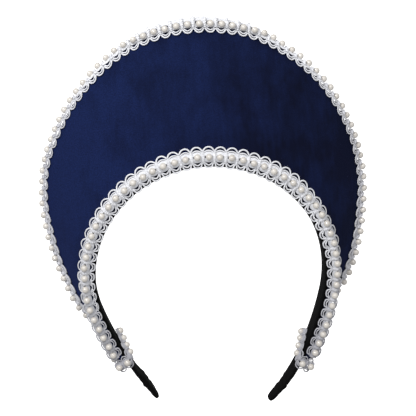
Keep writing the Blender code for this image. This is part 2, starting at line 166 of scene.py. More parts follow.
# End wraps, in millimetres: the line under them in the section, out and up, from the outside over the
# front to the arm's inner face, and where the braid's pearls lie. around is back along that line from
# its corner WRAP_CORNER, up_arm is up the arm from WRAP_STATION, and half is the width of each half.
# The line is drawn in steps of LINE_STEP, and its corners are rounded over about LINE_ROUND.
WRAP_PEARLS = 6
WRAP_STATION = {-1: 0.1564, 1: 0.1689}
WRAP_LINE = ((10.2, 9.3), (6.0, 13.2), (0.4, 13.2), (-0.35, 12.45), (-0.35, 0.6))
WRAP_CORNER = 3
END_WRAP = {
    "pearl": (-0.5, 0, 1, 2, 3, 4, 5, 5.6),
    "around": (-12.0, -11.0, -8.3, -5.6, -2.9, 2.3, 7.0, 9.4),
    "up_arm": (16.4, 14.9, 11.1, 7.2, 3.4, 0.4, 0.1, 0.1),
    "half": (4.6, 4.8, 5.0, 4.9, 4.8, 4.8, 4.6, 4.4),
}
LINE_STEP = 0.0002
LINE_ROUND = 0.0008

# A trim's running length is summed in steps of this station, to this far each way.
LENGTH_STEP = 0.0025
LENGTH_REACH = 0.175

# The object lies on its back, turned by these angles, with the arch's middle at this place.
REST_PITCH = math.radians(7.696)
REST_ROLL = math.radians(2.928)
REST_PLACE = np.array((-0.001973, 0.035465, 0.021669))
REST_TURN = np.array(Matrix.Rotation(REST_ROLL, 3, "Y") @ Matrix.Rotation(REST_PITCH, 3, "X"))

# Cords of each half of the braid, in millimetres, from the pearls out: the last is the picot loop.
# knot and pearl are how far each lies from the pearl line midway between two pearls and beside a
# pearl, rise how high it lies, peak how narrow its loop is, swell and pinch how much wider its loop is
# than its feet, and how much its feet draw in, in pitches, stray how far it is off, as a share, and
# steps how many points it has to a pitch. The open half is spread out, the closed half is crowded, the
# edge half lies flat round the crown's edge and the arm half is drawn in on the arms.
OPEN_HALF = {
    "knot": (0.45, 1.15, 1.85, 2.45, 3.45),
    "pearl": (1.6, 2.15, 2.75, 3.7, 5.65),
    "rise": (1.6, 1.35, 1.0, 0.75, 0.55),
    "radius": (0.48, 0.42, 0.38, 0.38, 0.46),
    "peak": (1.0, 1.0, 1.1, 1.0, 1.0),
    "swell": (0.05, 0.05, 0.02, 0.06, 0.10),
    "pinch": (0.0, 0.0, 0.0, 0.0, 0.01),
    "stray": (0.0, 0.0, 0.05, 0.05, 0.08),
    "steps": (10, 10, 10, 14, 18),
}
CLOSED_HALF = {
    "knot": (0.45, 1.15, 1.85, 2.6, 3.5),
    "pearl": (1.6, 2.15, 2.75, 4.75, 6.2),
    "rise": (1.6, 1.35, 1.0, 0.7, 0.6),
    "radius": (0.48, 0.42, 0.38, 0.40, 0.46),
    "peak": (1.0, 1.0, 1.0, 1.2, 1.0),
    "swell": (0.05, 0.05, 0.04, 0.03, 0.10),
    "pinch": (0.0, 0.0, 0.0, 0.0, 0.06),
    "stray": (0.0, 0.0, 0.03, 0.05, 0.04),
    "steps": (10, 10, 10, 14, 20),
}
EDGE_HALF = {
    "knot": (0.45, 1.15, 1.85, 2.6, 3.6),
    "pearl": (1.45, 2.05, 2.7, 4.7, 6.05),
    "rise": (0.7, 0.75, 0.7, 0.6, 0.6),
    "radius": (0.52, 0.46, 0.44, 0.42, 0.48),
    "peak": (1.0, 1.0, 1.0, 1.1, 1.0),
    "swell": (0.05, 0.05, 0.04, 0.03, 0.08),
    "pinch": (0.0, 0.0, 0.0, 0.0, 0.02),
    "stray": (0.0, 0.0, 0.03, 0.08, 0.05),
    "steps": (10, 10, 10, 14, 20),
}
ARM_HALF = {
    "knot": (0.45, 1.15, 1.85, 2.45, 3.2),
    "pearl": (1.95, 2.5, 3.15, 4.0, 5.5),
    "rise": (1.5, 1.3, 1.0, 0.75, 0.6),
    "radius": (0.44, 0.42, 0.42, 0.46, 0.62),
    "peak": (1.0, 1.0, 1.0, 1.0, 1.0),
    "swell": (0.05, 0.05, 0.03, 0.04, 0.10),
    "pinch": (0.0, 0.0, 0.0, 0.0, 0.03),
    "stray": (0.0, 0.0, 0.03, 0.06, 0.08),
    "steps": (10, 10, 10, 14, 18),
}
CORD_SIDES = (5, 5, 5, 6, 6)

# How far a full stray moves a loop's peak, along in pitches and up in metres.
STRAY_ALONG = 0.6
STRAY_UP = 0.0040

# Bows between two pearls: a soft pad bound over with stitches. Half sizes and heights are in metres,
# the stitches' places across in millimetres and their turns in degrees. Each stitch sinks into the pad,
# and slips and turns by up to so much.
KNOT_PAD = (0.00130, 0.0031, 0.00120)
KNOT_RISE = 0.0012
STITCH = (0.00095, 0.00046, 0.00034)
STITCHES = {
    "across": (-2.75, -1.9, -0.95, 0.0, 0.95, 1.9, 2.75),
    "turn": (-30, -14, 16, -6, 14, -18, 28),
}
STITCH_SINK = 0.00005
STITCH_SLIP = 0.0002
STITCH_TURN = 12.0

# How far a pearl may be off its place, along, across and up, and off its size, as a share.
PEARL_SLIP = (0.00022, 0.00022, 0.00012)
PEARL_UNLIKE = 0.03

# Length over which a cord's ply turns round it once.
TWIST = 0.0008976

# Seeds of the random draws.
SEEDS = {"inner_trim": 11, "outer_trim": 23, "left_end_wrap": 37, "right_end_wrap": 41}

# Real sizes of the finishes' patterns: the velvet's patches, streaks and tufts, the threads of the
# band's cloth and its worn spots, the stains of the cord and the clouds of the pearls' lacquer.
NAP_PATCH = 0.01818
NAP_STREAK = 0.002381
NAP_TUFT = 0.000625
CLOTH_THREAD = 0.0004488
CLOTH_WEAR = 0.004
CORD_STAIN = 0.003846
LACQUER_CLOUD = 0.005556

# A wave texture's bands repeat this often in a unit, straight ones and diagonal ones. The UV maps have
# millimetres for units, and the Object coordinates metres.
STRAIGHT_BANDS = 20.0 / math.tau
DIAGONAL_BANDS = 10.0 / math.tau
UV_UNIT = 0.001

# Sockets of a Mix node that mixes two colours.
FIRST_COLOUR = 6
SECOND_COLOUR = 7
MIXED_COLOUR = 2


# Smooth tables and ramps


def ramp(run, span):
    """Rises from 0 to 1 over a span, and is level before and after it."""
    return np.clip(run / span, 0.0, 1.0)


def curve(table, column, at):
    """Smooth curve through a table's rows, level with the end rows beyond them."""
    first = next(iter(table))
    along = np.array(table[first], float)
    values = np.array(table[column], float)
    spans = np.diff(along)
    rises = np.diff(values) / spans
    both = rises[:-1] * rises[1:]
    slopes = np.zeros_like(values)
    bent = both > 0.0
    slopes[1:-1][bent] = 2.0 * both[bent] / (rises[:-1] + rises[1:])[bent]
    at = np.clip(at, along[0], along[-1])
    row = np.clip(np.searchsorted(along, at) - 1, 0, len(spans) - 1)
    share = (at - along[row]) / spans[row]
    rise = values[row + 1] - values[row]
    start = slopes[row] * spans[row]
    end = slopes[row + 1] * spans[row]
    bow = start * (1.0 - share) - end * share + rise * (2.0 * share - 1.0)
    return values[row] + rise * share + share * (1.0 - share) * bow


def table_at(table, column, station, scale=0.001):
    return curve(table, column, np.abs(station) * 1000.0) * scale


def crown_at(column, station, scale):
    left = table_at(CROWN, column + "_left", station, scale)
    right = table_at(CROWN, column + "_right", station, scale)
    return np.where(station >= 0.0, right, left)


# The headband's line


def band_frame(station):
    """Points on the band's inner face at its back edge, and the outward directions there."""
    points = np.zeros((len(station), 3))
    outward = np.zeros((len(station), 3))
    for side, arcs in BAND_ARCS.items():
        mask = (station >= 0.0) == (side > 0)
        rest = np.abs(station[mask])
        turn = np.zeros_like(rest)
        for index, (radius, length) in enumerate(arcs):
            run = rest if index == len(arcs) - 1 else np.minimum(rest, length)
            after = turn + run / radius
            points[mask, 0] += side * radius * (np.sin(after) - np.sin(turn))
            points[mask, 1] += radius * (np.cos(after) - np.cos(turn))
            turn = after
            rest = rest - run
        outward[mask, 0] = side * np.sin(turn)
        outward[mask, 1] = np.cos(turn)
    return points, outward


def band_length(side):
    return sum(length for radius, length in BAND_ARCS[side])


def from_tip(station):
    """How far a station is from the tip on its side."""
    return np.where(station >= 0.0, band_length(1), band_length(-1)) - np.abs(station)


def place(station, section):
    """World points of places in the sections at these stations."""
    points, outward = band_frame(station)
    flat = points + outward * section[:, :1]
    flat[:, 2] += section[:, 1]
    return flat @ REST_TURN.T + REST_PLACE


# Sections of the board and its trims


def pair(out, up):
    return np.stack(np.broadcast_arrays(out, up), axis=-1)


def lean_at(station):
    return np.radians(crown_at("lean", station, 1.0))


def reach_at(station):
    return crown_at("reach", station, 0.001)


def plain_face(station, reach):
    """Place on the domed face at a reach from the band's corner, and its front normal."""
    start = lean_at(station)
    end = start + BOARD_DOME * reach
    out = (np.sin(end) - np.sin(start)) / BOARD_DOME
    up = (np.cos(end) - np.cos(start)) / BOARD_DOME
    corner = np.array((BAND_THICK + GAP, BAND_WIDTH))
    return corner + pair(out, up), pair(np.sin(end), np.cos(end))


def inner_fall_at(station):
    return np.radians(table_at(INNER_TRIM, "inner_fall", station, 1.0))


def ridge_seat(station):
    """Underside of the inner trim at its pearl line."""
    out = table_at(INNER_TRIM, "ridge", station)
    fall = inner_fall_at(station)
    inner_end = out - table_at(INNER_TRIM, "inner_half", station) * np.cos(fall)
    touch = np.where(fall > 0.0, np.maximum(BAND_EDGE, inner_end), BAND_THICK)
    over_band = BAND_WIDTH + GAP / np.cos(fall) + (out - touch) * np.tan(fall)
    lean = lean_at(station)
    over_board = BAND_WIDTH - (out - BAND_THICK - GAP) * np.tan(lean) + GAP / np.cos(lean)
    return pair(out, np.maximum(over_band, over_board))


def raised_span(station):
    """Span over which the board's face comes down from under the inner trim's pearl line."""
    quarter = BOARD_THICK / 2.0 * math.pi / 2.0
    outer_trim_end = reach_at(station) - BOARD_THICK / 2.0 - (BRAID_HALF - quarter)
    return np.clip(outer_trim_end - RIDGE_REACH - 2.0 * GAP, 0.001, BRAID_HALF)


def board_face(station, reach):
    """Place on the board's face: the domed face, raised under the inner trim's pearl line."""
    face, normal = plain_face(station, reach)
    ridge, _ = plain_face(station, RIDGE_REACH)
    lift = ridge_seat(station) - np.array((0.0, GAP)) - ridge
    share = 1.0 - ramp(reach - RIDGE_REACH, raised_span(station))
    return face + lift * share[:, None], normal


def outer_fall_at(station):
    """Angle by which the inner trim's outer half falls back; it lies on the board where it can."""
    high, _ = board_face(station, np.full_like(station, RIDGE_REACH))
    low, _ = board_face(station, np.full_like(station, RIDGE_REACH + BRAID_HALF))
    fall = np.arctan2(high[:, 1] - low[:, 1], low[:, 0] - high[:, 0])
    on_arm = ramp(np.abs(station) - ARM_START, ARM_BLEND)
    return np.minimum(fall, OUTER_FALL_MOST - ARM_LIFT * on_arm)


def inner_trim_section(station, across, height):
    """Place in the inner trim."""
    inner = inner_fall_at(station)
    outer = outer_fall_at(station)
    stand_angle = (outer - inner) / 2.0
    stand = pair(np.sin(stand_angle), np.cos(stand_angle))
    narrow = table_at(INNER_TRIM, "laid_half", station) / BRAID_HALF
    inwards = pair(-np.cos(inner), -np.sin(inner)) * (-across * narrow)[:, None]
    wide = table_at(INNER_TRIM, "outer_half", station) / BRAID_HALF
    outwards = pair(np.cos(outer), -np.sin(outer)) * (across * wide)[:, None]
    run = np.where((across < 0.0)[:, None], inwards, outwards)
    lift = stand * (height / np.cos((outer + inner) / 2.0))[:, None]
    return ridge_seat(station) + run + lift


def rim_frame(station):
    """Middle line of the board's rounded rim, and the directions ahead and to the front there."""
    edge, normal = board_face(station, reach_at(station))
    ahead = pair(normal[:, 1], -normal[:, 0])
    return edge - (ahead + normal) * (BOARD_THICK / 2.0), ahead, normal


def outer_trim_section(station, across, height):
    """Place in the outer trim, wrapped round the board's rim."""
    front_half = table_at(OUTER_TRIM, "front_half", station)
    back_half = table_at(OUTER_TRIM, "back_half", station)
    across = across * np.where(across > 0.0, back_half, front_half) / BRAID_HALF
    around = table_at(OUTER_TRIM, "forward", station) - across
    middle, ahead, front = rim_frame(station)
    radius = BOARD_THICK / 2.0 + GAP
    quarter = radius * math.pi / 2.0
    past = np.maximum(np.abs(around) - quarter, 0.0)
    angle = np.clip(around, -quarter, quarter) / radius
    away = ahead * np.cos(angle)[:, None] + front * np.sin(angle)[:, None]
    return middle - ahead * past[:, None] + away * (radius + height)[:, None]


# Bending flat braid to its place


def running_lengths(section):
    """Running length of a trim's pearl line against the station."""
    stations = np.arange(-LENGTH_REACH, LENGTH_REACH + LENGTH_STEP / 2.0, LENGTH_STEP)
    rows = np.zeros_like(stations)
    points = place(stations, section(stations, rows, rows + BRAID_THICK))
    steps = np.linalg.norm(np.diff(points, axis=0), axis=1)
    return stations, np.concatenate(([0.0], np.cumsum(steps)))


def trim_route(section, ends):
    """How many pearls a trim has, and the bend from its flat lay to the world.

    The flat lay runs along by the pearl, from 0 at the first, and across and up in metres.
    """
    stations, lengths = running_lengths(section)
    start = np.interp(-ends[-1], stations, lengths)
    end = np.interp(ends[1], stations, lengths)
    count = round((end - start) / PEARL_PITCH)
    pitch = (end - start) / count

    def bend(flat):
        along = start + (flat[:, 0] + 0.5) * pitch
        station = np.interp(along, lengths, stations)
        return place(station, section(station, flat[:, 1], flat[:, 2]))

    return count, bend


def rounded_line(line, corner):
    """A line of points with its corners rounded: lengths back from a corner, places, normals."""
    points = np.array(line) * 0.001
    runs = np.linalg.norm(np.diff(points, axis=0), axis=1)
    lengths = np.concatenate(([0.0], np.cumsum(runs)))
    at = np.arange(0.0, lengths[-1], LINE_STEP)
    rough = pair(np.interp(at, lengths, points[:, 0]), np.interp(at, lengths, points[:, 1]))
    reach = int(3.0 * LINE_ROUND / LINE_STEP)
    offsets = np.arange(-reach, reach + 1) * LINE_STEP
    weights = np.exp(-0.5 * (offsets / LINE_ROUND) ** 2)
    weights /= weights.sum()
    padded = np.pad(rough, ((reach, reach), (0, 0)), mode="reflect", reflect_type="odd")
    smooth = pair(*(np.convolve(padded[:, axis], weights, "valid") for axis in range(2)))
    run = np.gradient(smooth, axis=0)
    run /= np.linalg.norm(run, axis=1)[:, None]
    return lengths[corner] - at, smooth, pair(-run[:, 1], run[:, 0])


def wrap_route(side):
    """The bend of an end wrap from its flat lay to the world."""
    around, line, normals = rounded_line(WRAP_LINE, WRAP_CORNER)
    around, line, normals = around[::-1], line[::-1], normals[::-1]

    def centre(pearl):
        route = pair(curve(END_WRAP, "around", pearl), curve(END_WRAP, "up_arm", pearl))
        return route * 0.001

    def bend(flat):
        step = 0.05
        pearl = flat[:, 0]
        run = centre(pearl + step) - centre(pearl - step)
        run /= np.maximum(np.linalg.norm(run, axis=1), 1e-9)[:, None]
        narrow = curve(END_WRAP, "half", pearl) * 0.001 / BRAID_HALF
        spot = centre(pearl) + pair(-run[:, 1], run[:, 0]) * (flat[:, 1] * narrow)[:, None]
        section = [np.interp(spot[:, 0], around, line[:, axis]) for axis in range(2)]
        normal = [np.interp(spot[:, 0], around, normals[:, axis]) for axis in range(2)]
        lifted = pair(*section) - pair(*normal) * flat[:, 2:]
        return place(side * (WRAP_STATION[side] - spot[:, 1]), lifted)

    return bend


def pearl_frames(bend, spots):
    """Placing of each pearl: x along the braid, z away from it."""
    step = np.array((0.04, 0.0, 0.0))
    rise = np.array((0.0, 0.0, 0.0005))
    foot = bend(spots)
    runs = bend(spots + step) - bend(spots - step)
    stands = bend(spots + rise) - foot
    frames = []
    for point, run, stand in zip(foot, runs, stands):
        z = Vector(stand).normalized()
        y = z.cross(Vector(run)).normalized()
        placing = Matrix((y.cross(z), y, z)).transposed().to_4x4()
        placing.translation = Vector(point)
        frames.append(placing)
    return frames


# Meshes


def points_of(shape):
    return np.array([vert.co for vert in shape.verts], float).reshape(-1, 3)


def move_points(verts, points):
    for vert, point in zip(verts, points):
        vert.co = point


def new_shape():
    shape = bmesh.new()
    shape.loops.layers.uv.new("UVMap")
    return shape


def mesh_of(name, shape):
    """A mesh of a shape, which is freed."""
    mesh = bpy.data.meshes.new(name)
    shape.to_mesh(mesh)
    shape.free()
    return mesh


def show(name, data):
    """An object of a mesh, a camera or a light, in the scene."""
    item = bpy.data.objects.new(name, data)
    bpy.context.scene.collection.objects.link(item)
    return item


def repeated(unit, placings):
    """A shape with a unit at each placing; frees the unit."""
    mesh = mesh_of("unit", unit)
    points = np.array([(*vert.co, 1.0) for vert in mesh.vertices])
    shape = new_shape()
    for _ in placings:
        shape.from_mesh(mesh)
    bpy.data.meshes.remove(mesh)
    moved = [(points @ np.array(placing).T)[:, :3] for placing in placings]
    move_points(shape.verts, np.concatenate(moved))
    return shape


def add_shape(shape, other):
    """Adds another shape's faces to a shape, and frees the other."""
    mesh = mesh_of("added", other)
    shape.from_mesh(mesh)
    bpy.data.meshes.remove(mesh)


def scale_map(shape, faces, length, girth):
    """Scales these faces' UV map from shares of a length and a girth to millimetres."""
    layer = shape.loops.layers.uv.active
    for face in faces:
        for loop in face.loops:
            uv = loop[layer].uv
            loop[layer].uv = (uv.x * length * 1000.0, uv.y * girth * 1000.0)


def finish_piece(name, shape, material, node):
    """Makes a piece of a shape, smooth, riding on the one body and standing for a node."""
    bmesh.ops.recalc_face_normals(shape, faces=shape.faces[:])
    mesh = mesh_of(name, shape)
    mesh.shade_smooth()
    mesh.materials.append(material)
    piece = show(name, mesh)
    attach(piece, "root")
    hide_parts(node)


def flat_blank(cells_along, cells_across):
    """Closed flat blank: x and y run from 0 to 1, z is 0 on the underside and 1 on top."""
    blank = new_shape()
    bmesh.ops.create_grid(blank, x_segments=cells_along, y_segments=cells_across, size=0.5,
                          calc_uvs=True)
    bmesh.ops.translate(blank, verts=blank.verts, vec=(0.5, 0.5, 0.0))
    raised = bmesh.ops.extrude_face_region(blank, geom=blank.faces[:])
    top = [item for item in raised["geom"] if isinstance(item, bmesh.types.BMVert)]
    bmesh.ops.translate(blank, verts=top, vec=(0.0, 0.0, 1.0))
    return blank


def lay_cord(shape, line, radius, sides):
    """Adds a closed round cord along a line; its UV map follows its ply's twist."""
    made = bmesh.ops.create_grid(shape, x_segments=len(line) - 1, y_segments=sides, size=0.5,
                                 calc_uvs=True)
    verts = made["verts"]
    flat = np.array([vert.co for vert in verts]) + 0.5
    index = np.rint(flat[:, 0] * (len(line) - 1)).astype(int)
    turn = flat[:, 1] * 2.0 * math.pi
    run = np.gradient(line, axis=0)
    run /= np.linalg.norm(run, axis=1)[:, None]
    side = np.stack((-run[:, 1], run[:, 0], np.zeros(len(line))), axis=1)
    side /= np.linalg.norm(side, axis=1)[:, None]
    rise = np.cross(run, side)
    thick = np.full(len(line), radius)
    thick[0] = thick[-1] = 0.0
    around = np.cos(turn)[:, None] * side[index] + np.sin(turn)[:, None] * rise[index]
    move_points(verts, line[index] + around * thick[index][:, None])
    length = np.linalg.norm(np.diff(line, axis=0), axis=1).sum()
    scale_map(shape, {face for vert in verts for face in vert.link_faces}, length, TWIST)
    bmesh.ops.remove_doubles(shape, verts=verts, dist=MERGE)


# Braid


def cord_line(half, row, side, first, last, stray):
    """Line of one cord of a half of the braid, laid flat."""
    steps = half["steps"][row]
    turns = np.linspace(first - 0.5, last + 0.5, (last - first + 1) * steps + 1)
    share = ((1.0 + np.cos(2.0 * math.pi * turns)) / 2.0) ** half["peak"][row]
    knot = half["knot"][row] * 0.001
    beside = half["pearl"][row] * 0.001
    loop = np.clip(np.rint(turns).astype(int) - first, 0, last - first)
    off = stray[loop] * half["stray"][row]
    reach = knot + (beside - knot) * share * (1.0 + off[:, 0])
    wider = half["swell"][row] * np.sin(2.0 * math.pi * turns)
    drawn = half["pinch"][row] * np.sin(4.0 * math.pi * turns)
    along = turns + wider + drawn + STRAY_ALONG * off[:, 1] * share
    rise = half["rise"][row] * 0.001 + STRAY_UP * off[:, 2] * share
    return np.stack((along * PEARL_PITCH, side * reach, rise), axis=1)


def pads_and_stitches(count, random):
    """The pads and binding stitches between so many pearls and at both ends, laid flat."""
    pads = []
    stitches = []
    for knot in range(count + 1):
        middle = (knot - 0.5) * PEARL_PITCH
        pads.append(Matrix.Translation((middle, 0.0, KNOT_RISE)) @ Matrix.Diagonal((*KNOT_PAD, 1.0)))
        for across, turn in zip(STITCHES["across"], STITCHES["turn"]):
            slip = random.uniform(-STITCH_SLIP, STITCH_SLIP, 2)
            far = across * 0.001 / KNOT_PAD[1]
            height = KNOT_RISE + KNOT_PAD[2] * math.sqrt(1.0 - far * far) - STITCH_SINK
            spot = Matrix.Translation((middle + slip[0], across * 0.001 + slip[1], height))
            turn += random.uniform(-STITCH_TURN, STITCH_TURN)
            turned = Matrix.Rotation(math.radians(turn), 4, "Z")
            stitches.append(spot @ turned @ Matrix.Diagonal((*STITCH, 1.0)))
    pad = new_shape()
    bmesh.ops.create_uvsphere(pad, u_segments=12, v_segments=6, radius=1.0, calc_uvs=True)
    stitch = new_shape()
    bmesh.ops.create_uvsphere(stitch, u_segments=7, v_segments=5, radius=1.0, calc_uvs=True)
    shape = repeated(pad, pads)
    add_shape(shape, repeated(stitch, stitches))
    return shape


def lay_braid(count, bend, runs, seed):
    """Braid for so many pearls, bent to its place; a run is a side, a half, and pearls from and to."""
    random = np.random.default_rng(seed)
    shape = pads_and_stitches(count, random)
    for side, half, first, last in runs:
        stray = random.uniform(-1.0, 1.0, (last - first + 1, 3))
        for row, (radius, sides) in enumerate(zip(half["radius"], CORD_SIDES)):
            line = cord_line(half, row, side, first, last, stray)
            lay_cord(shape, line, radius * 0.001, sides)
    flat = points_of(shape)
    flat[:, 0] = np.clip(flat[:, 0] / PEARL_PITCH, -0.5, count - 0.5)
    move_points(shape.verts, bend(flat))
    return shape


def stand_pearls(count, bend, radius, seat, seed):
    """A line of pearls at a seat across and above the braid, each a little off its place and size."""
    random = np.random.default_rng(seed)
    spots = np.zeros((count, 3))
    spots[:, 0] = np.arange(count)
    spots[:, 1] = seat[0]
    spots[:, 2] = BRAID_THICK
    pearl = new_shape()
    bmesh.ops.create_uvsphere(pearl, u_segments=16, v_segments=10, radius=radius, calc_uvs=True)
    placings = []
    for placing in pearl_frames(bend, spots):
        slip = Vector(random.uniform(-1.0, 1.0, 3) * PEARL_SLIP)
        middle = Matrix.Translation(Vector((0.0, 0.0, seat[1])) + slip)
        size = 1.0 + random.uniform(-PEARL_UNLIKE, PEARL_UNLIKE)
        placings.append(placing @ middle @ Matrix.Diagonal((size, size, size, 1.0)))
    return repeated(pearl, placings)


# Materials


def linear(code):
    """Linear red, green, blue and alpha of an sRGB hex colour."""
    parts = [int(code[index:index + 2], 16) / 255.0 for index in (1, 3, 5)]
    return (*(part / 12.92 if part <= 0.04045 else ((part + 0.055) / 1.055) ** 2.4
              for part in parts), 1.0)


def add_node(tree, kind, inputs=None, **settings):
    """Adds a node with its settings; an input is a value or a socket to link."""
    node = tree.nodes.new(kind)
    for key, value in settings.items():
        setattr(node, key, value)
    for key, value in (inputs or {}).items():
        if isinstance(value, bpy.types.NodeSocket):
            tree.links.new(value, node.inputs[key])
        else:
            node.inputs[key].default_value = value
    return node


def new_material(name, **values):
    """A material with its Principled shader's own values; returns it, its tree and the shader."""
    material = bpy.data.materials.new(name)
    material.use_nodes = True
    tree = material.node_tree
    shader = tree.nodes["Principled BSDF"]
    for key, value in values.items():
        shader.inputs[key.replace("_", " ")].default_value = value
    return material, tree, shader


def make_velvet(name, colours):
    """Cotton velvet: a short dense nap, matt from above, with a soft pale sheen on its rims.

    The nap lies in patches of some 2 cm and in streaks 2 mm wide, brushed up or down. The velvet is
    painted lighter towards the left and darker towards the right, a painted light and sheen from the
    left.
    Its tufts are drawn 0.6 mm apart, coarser than they are, so that they show.
    """
    material, tree, shader = new_material(
        name, Roughness=0.95, Specular_IOR_Level=0.1, Sheen_Weight=0.16, Sheen_Roughness=0.5,
        Sheen_Tint=linear(colours.velvet_sheen))
    low = linear(colours.velvet_low)
    coords = add_node(tree, "ShaderNodeTexCoord").outputs["Object"]
    stretched = add_node(tree, "ShaderNodeMapping", {"Vector": coords, "Scale": (1.0, 0.7, 1.0)})
    patches = add_node(tree, "ShaderNodeTexNoise",
                       {"Vector": stretched.outputs[0], "Scale": 1.0 / NAP_PATCH, "Detail": 5.0,
                        "Roughness": 0.6}).outputs["Fac"]
    spread = add_node(tree, "ShaderNodeMapRange",
                      {"Value": patches, "From Min": 0.35, "From Max": 0.65, "To Min": 0.05,
                       "To Max": 0.6}).outputs[0]
    tufts = add_node(tree, "ShaderNodeTexNoise",
                     {"Vector": coords, "Scale": 1.0 / NAP_TUFT, "Detail": 3.0}).outputs["Fac"]
    lengthways = add_node(tree, "ShaderNodeMapping", {"Vector": coords, "Scale": (1.0, 0.08, 1.0)})
    streaks = add_node(tree, "ShaderNodeTexNoise",
                       {"Vector": lengthways.outputs[0], "Scale": 1.0 / NAP_STREAK,
                        "Detail": 3.0}).outputs["Fac"]
    # Painted light: the velvet is painted lighter towards the left and darker towards the right, standing
    # in for light and sheen falling from the left.
    sideways = add_node(tree, "ShaderNodeSeparateXYZ", {0: coords}).outputs["X"]
    lay = add_node(tree, "ShaderNodeMapRange",
                   {"Value": sideways, "From Min": 0.06, "From Max": -0.1, "To Min": -0.45,
                    "To Max": 0.65}).outputs[0]
    # The nap's streaks together with the painted light from the left.
    brushed = add_node(tree, "ShaderNodeMath", {0: streaks, 1: 0.5, 2: lay},
                       operation="MULTIPLY_ADD").outputs[0]
    share = add_node(tree, "ShaderNodeMath", {0: spread, 1: brushed}, operation="ADD").outputs[0]
    ground = add_node(tree, "ShaderNodeMix", {"Factor": share, FIRST_COLOUR: low,
                                              SECOND_COLOUR: linear(colours.velvet_high)},
                      data_type="RGBA").outputs[MIXED_COLOUR]
    speckled = add_node(tree, "ShaderNodeMix", {"Factor": tufts, FIRST_COLOUR: low,
                                                SECOND_COLOUR: ground},
                        data_type="RGBA").outputs[MIXED_COLOUR]
    bump = add_node(tree, "ShaderNodeBump", {"Height": tufts, "Strength": 0.5, "Distance": 0.0004})
    tree.links.new(speckled, shader.inputs["Base Color"])
    tree.links.new(bump.outputs[0], shader.inputs["Normal"])
    return material


def make_band_cloth(name, colours):
    """Plain-woven black polyester: dull, its threads a little paler, and more so in places.

    The threads are drawn 0.45 mm apart, coarser than they are, so that they show.
    """
    material, tree, shader = new_material(name, Roughness=0.85, Specular_IOR_Level=0.08)
    coords = add_node(tree, "ShaderNodeUVMap", uv_map="UVMap").outputs[0]
    threads = {"Vector": coords, "Scale": UV_UNIT / CLOTH_THREAD / STRAIGHT_BANDS, "Distortion": 0.6,
               "Detail": 1.0}
    warp = add_node(tree, "ShaderNodeTexWave", threads, bands_direction="X").outputs["Fac"]
    weft = add_node(tree, "ShaderNodeTexWave", threads, bands_direction="Y").outputs["Fac"]
    weave = add_node(tree, "ShaderNodeMath", {0: warp, 1: weft}, operation="MULTIPLY").outputs[0]
    wear = add_node(tree, "ShaderNodeTexNoise",
                    {"Vector": coords, "Scale": UV_UNIT / CLOTH_WEAR, "Detail": 3.0}).outputs["Fac"]
    shade = add_node(tree, "ShaderNodeMath", {0: weave, 1: wear}, operation="MULTIPLY").outputs[0]
    colour = add_node(tree, "ShaderNodeMix", {"Factor": shade, FIRST_COLOUR: linear(colours.cloth_low),
                                              SECOND_COLOUR: linear(colours.cloth_high)},
                      data_type="RGBA").outputs[MIXED_COLOUR]
    bump = add_node(tree, "ShaderNodeBump", {"Height": weave, "Strength": 0.6, "Distance": 0.00015})
    tree.links.new(colour, shader.inputs["Base Color"])
    tree.links.new(bump.outputs[0], shader.inputs["Normal"])
    return material


def make_braid_cord(name, colours):
    """Twisted viscose cord: cool white, a soft lustre, its ply twisted once every 0.9 mm.

    It is painted greyer towards the tips and at the crown's sides, a painted shade.
    """
    material, tree, shader = new_material(
        name, Roughness=0.5, Specular_IOR_Level=0.4, Sheen_Weight=0.25, Sheen_Roughness=0.4,
        Subsurface_Weight=0.15, Subsurface_Scale=0.0006, Subsurface_Radius=(1.0, 1.0, 1.0))
    coords = add_node(tree, "ShaderNodeTexCoord").outputs["Object"]
    twist = add_node(tree, "ShaderNodeUVMap", uv_map="UVMap").outputs[0]
    soil = add_node(tree, "ShaderNodeTexNoise",
                    {"Vector": coords, "Scale": 1.0 / CORD_STAIN, "Detail": 3.0}).outputs["Fac"]
    ply = add_node(tree, "ShaderNodeTexWave",
                   {"Vector": twist, "Scale": UV_UNIT / TWIST / DIAGONAL_BANDS, "Distortion": 0.3,
                    "Detail": 1.0}, bands_direction="DIAGONAL").outputs["Fac"]
    clean = add_node(tree, "ShaderNodeMix", {"Factor": soil, FIRST_COLOUR: linear(colours.cord_low),
                                             SECOND_COLOUR: linear(colours.cord_high)},
                     data_type="RGBA").outputs[MIXED_COLOUR]
    axes = add_node(tree, "ShaderNodeSeparateXYZ", {0: coords}).outputs
    # Painted shade: towards the tips and at the crown's sides the cord is mixed towards a painted grey.
    low = add_node(tree, "ShaderNodeMapRange",
                   {"Value": axes["Y"], "From Min": 0.0, "From Max": -0.09}).outputs[0]
    sideways = add_node(tree, "ShaderNodeMath", {0: axes["X"]}, operation="ABSOLUTE").outputs[0]
    outside = add_node(tree, "ShaderNodeMapRange",
                       {"Value": sideways, "From Min": 0.060, "From Max": 0.090,
                        "To Max": 0.6}).outputs[0]
    in_painted_shade = add_node(tree, "ShaderNodeMath", {0: low, 1: outside}, operation="MAXIMUM").outputs[0]
    colour = add_node(tree, "ShaderNodeMix", {"Factor": in_painted_shade, FIRST_COLOUR: clean,
                                              SECOND_COLOUR: linear(colours.cord_painted_shade)},
                      data_type="RGBA").outputs[MIXED_COLOUR]
    bump = add_node(tree, "ShaderNodeBump", {"Height": ply, "Strength": 0.35, "Distance": 0.00012})
    tree.links.new(colour, shader.inputs["Base Color"])
    tree.links.new(bump.outputs[0], shader.inputs["Normal"])
    return material


